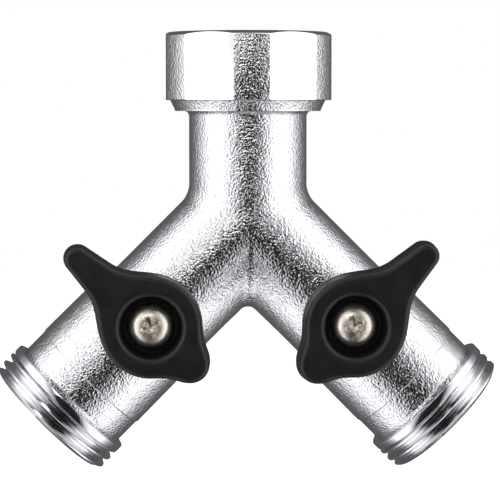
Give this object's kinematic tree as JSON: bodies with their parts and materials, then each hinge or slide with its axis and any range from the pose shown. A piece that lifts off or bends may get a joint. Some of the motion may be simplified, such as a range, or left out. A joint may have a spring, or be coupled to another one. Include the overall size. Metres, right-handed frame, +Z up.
{
  "type": "hose splitter",
  "caption": "Y-shaped garden hose splitter: hexagonal threaded inlet, angled threaded outlets, each with a lever-operated ball valve.",
  "frame": {"origin": "on the inlet axis at the hexagonal collar's top face", "axes": "+Z up out of the inlet, +X towards the right outlet, the levers face -Y"},
  "size_m": [0.0915, 0.0381, 0.0799],
  "materials": {
    "plated_brass": "bright nickel plate over a blasted casting; hexagon and threads machined smooth",
    "black_nylon": "satin black moulded nylon",
    "nickel_steel": "bright nickel-plated steel screw, slightly warm",
    "bright_brass": "machined brass",
    "white_ptfe": "white PTFE",
    "black_rubber": "black rubber"
  },
  "bodies": {
    "body": {"body": "plated_brass", "inlet_washer": "black_rubber", "left_inner_seat": "white_ptfe", "left_outer_seat": "white_ptfe", "left_seat_retainer": "bright_brass", "left_thrust_washer": "white_ptfe", "right_inner_seat": "white_ptfe", "right_outer_seat": "white_ptfe", "right_seat_retainer": "bright_brass", "right_thrust_washer": "white_ptfe"},
    "left_valve": {"left_ball": "bright_brass", "left_stem": "bright_brass", "left_stem_o_ring_lower": "black_rubber", "left_stem_o_ring_upper": "black_rubber", "left_knob": "black_nylon", "left_knob_screw": "nickel_steel"},
    "right_valve": {"right_ball": "bright_brass", "right_stem": "bright_brass", "right_stem_o_ring_lower": "black_rubber", "right_stem_o_ring_upper": "black_rubber", "right_knob": "black_nylon", "right_knob_screw": "nickel_steel"}
  },
  "joints": [
    {"name": "left_valve_turn", "type": "hinge", "parent": "body", "child": "left_valve", "pos_m": [-0.01803, 0, -0.05223], "axis": [0, -1, 0], "range_deg": [-2, 88]},
    {"name": "right_valve_turn", "type": "hinge", "parent": "body", "child": "right_valve", "pos_m": [0.01803, 0, -0.05223], "axis": [0, 1, 0], "range_deg": [0, 90]}
  ]
}
